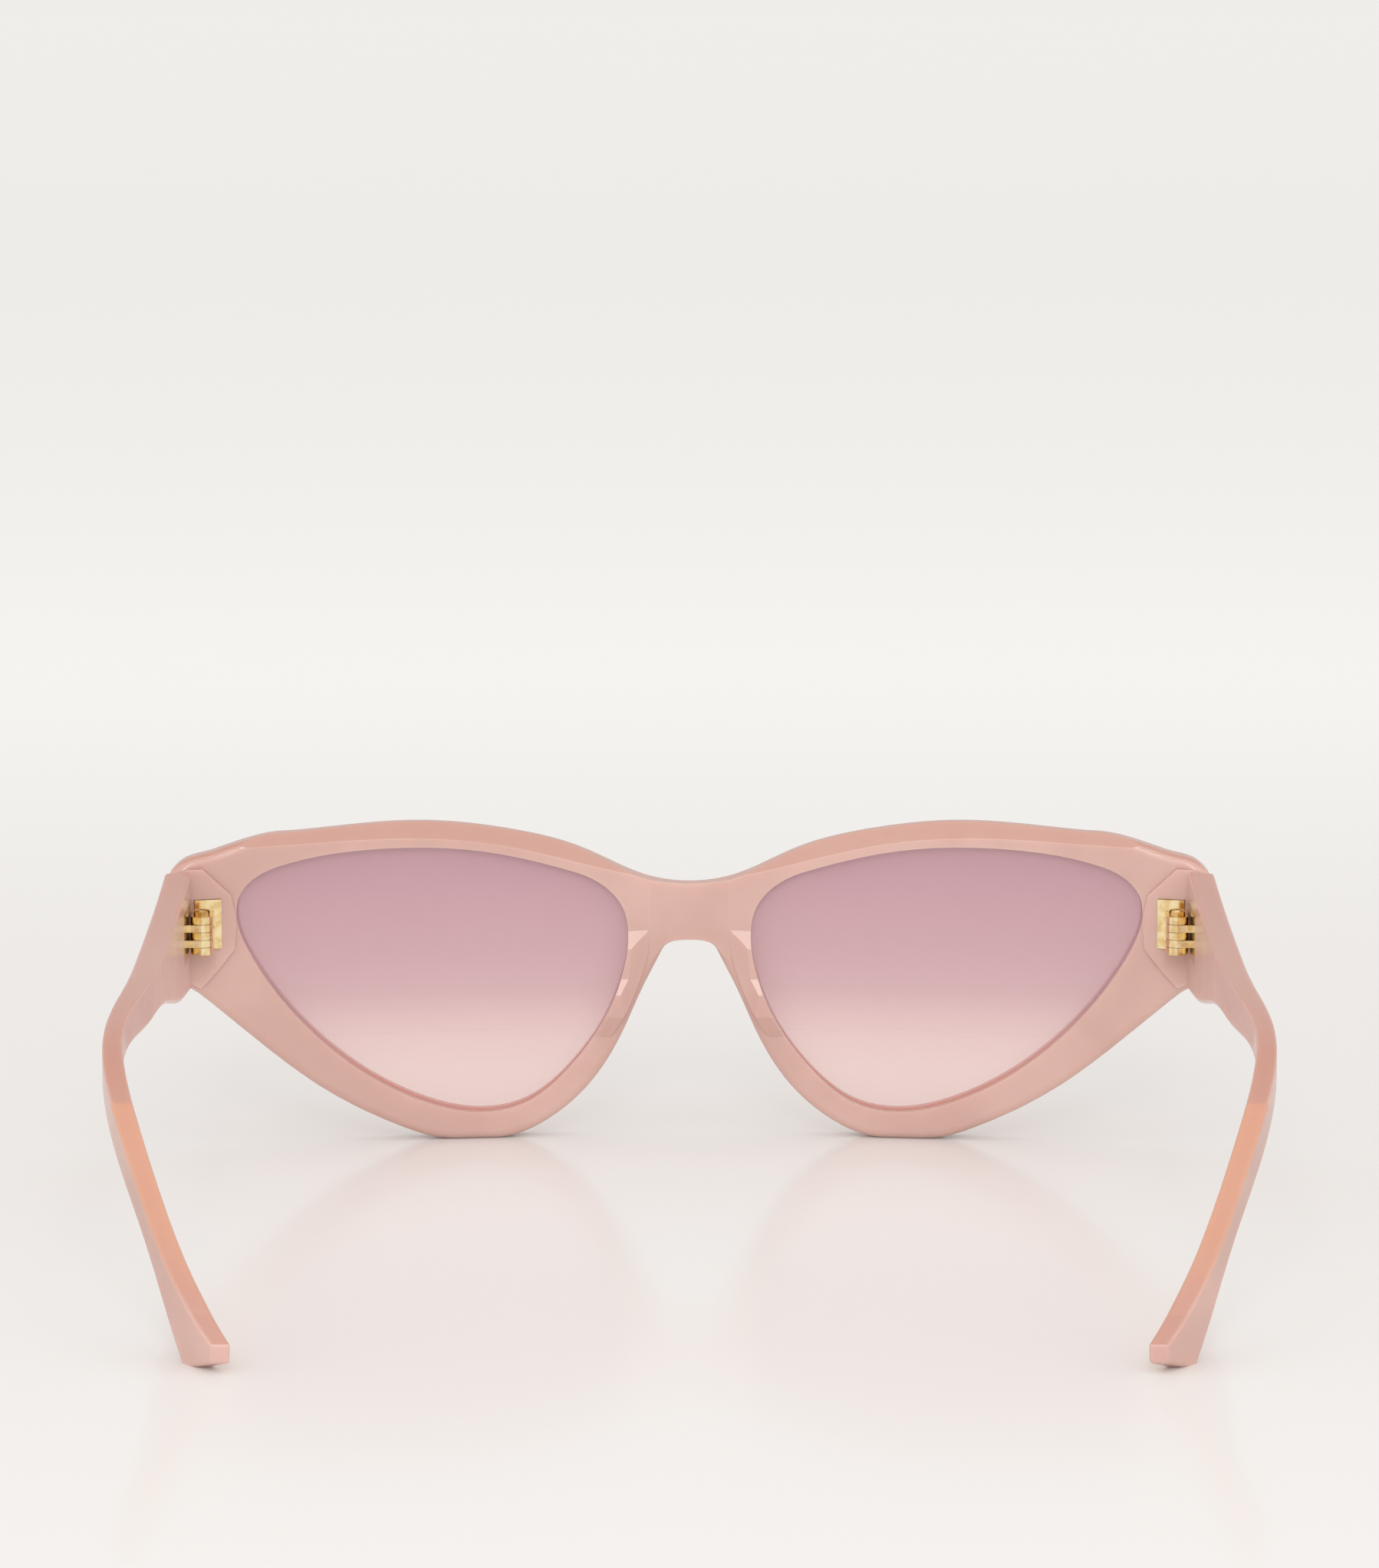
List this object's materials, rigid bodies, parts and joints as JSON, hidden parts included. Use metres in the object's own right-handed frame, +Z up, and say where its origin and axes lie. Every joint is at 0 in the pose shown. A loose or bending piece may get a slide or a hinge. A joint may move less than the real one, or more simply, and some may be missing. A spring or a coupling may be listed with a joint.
{
  "type": "cat eye sunglasses",
  "caption": "Full rim cat eye sunglasses with a curved acetate front, gradient lenses and folding temples on barrel hinges.",
  "frame": {"origin": "centre of the bounding box in plan, on the surface that the open sunglasses rest on", "axes": "+X to the wearer's right, +Y forward, out of the front of the lenses, +Z up"},
  "size_m": [0.1454, 0.1445, 0.0447],
  "materials": {
    "acetate": "milky rose acetate, polished",
    "lens": "rose gradient tint, polished",
    "hinge_metal": "gold plated, polished",
    "screw_metal": "gold plated, polished",
    "core_metal": "gold toned wire, satin"
  },
  "bodies": {
    "front": {"front_frame": "acetate", "left_lens": "lens", "right_lens": "lens", "left_front_hinge_leaf": "hinge_metal", "right_front_hinge_leaf": "hinge_metal", "left_hinge_screw": "screw_metal", "right_hinge_screw": "screw_metal"},
    "left_temple": {"left_temple": "acetate", "left_core_wire": "core_metal", "left_temple_hinge_leaf": "hinge_metal"},
    "right_temple": {"right_temple": "acetate", "right_core_wire": "core_metal", "right_temple_hinge_leaf": "hinge_metal"}
  },
  "joints": [
    {"name": "left_temple_fold", "type": "hinge", "parent": "front", "child": "left_temple", "pos_m": [-0.0667, 0.0533, 0.03], "axis": [0, 0, 1], "range_deg": [0, 74]},
    {"name": "right_temple_fold", "type": "hinge", "parent": "front", "child": "right_temple", "pos_m": [0.0667, 0.0533, 0.03], "axis": [0, 0, -1], "range_deg": [0, 87]}
  ]
}
